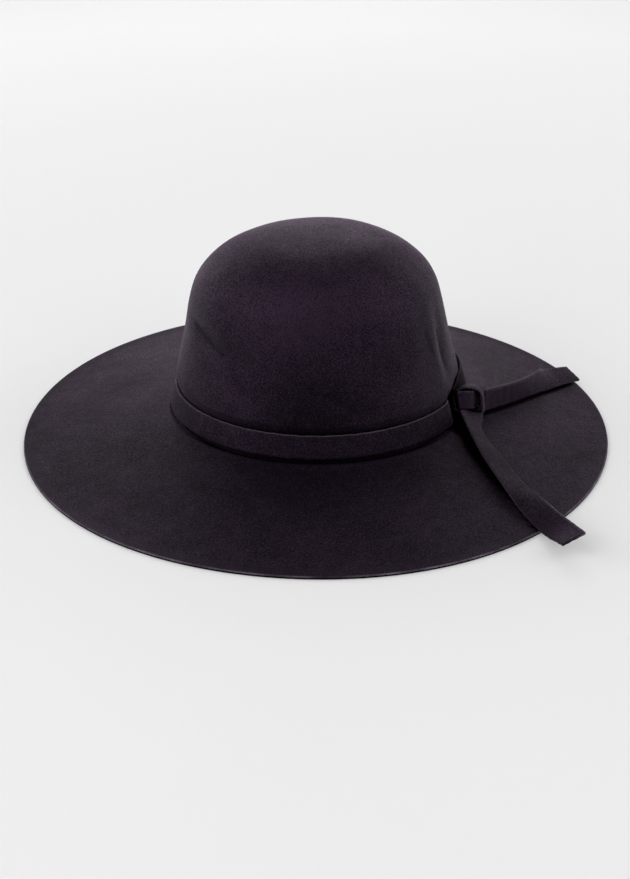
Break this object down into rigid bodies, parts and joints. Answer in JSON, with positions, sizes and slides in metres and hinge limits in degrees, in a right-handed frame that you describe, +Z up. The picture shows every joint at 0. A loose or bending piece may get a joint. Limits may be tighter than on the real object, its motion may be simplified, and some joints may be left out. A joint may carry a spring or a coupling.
{
  "type": "floppy felt hat",
  "caption": "Wide-brimmed felt hat with a round hollow crown, a narrow felt band, and a knot at the side whose tails lie out over the brim.",
  "frame": {"origin": "on the crown's axis, on the surface that the brim's rim rests on", "axes": "+Z up through the crown, +X across the hat to the side with the knot, -Y to the side that the picture shows in front"},
  "size_m": [0.403, 0.4029, 0.1415],
  "materials": {
    "body_felt": "matt brushed wool felt, black with a faint purple cast",
    "strip_felt": "matt wool felt strip with fuzzy cut edges, black"
  },
  "bodies": {
    "root": {"felt_body": "body_felt", "hat_band": "strip_felt", "knot_loop": "strip_felt", "knot_core": "strip_felt", "tail_front": "strip_felt", "tail_rear": "strip_felt"}
  },
  "joints": []
}
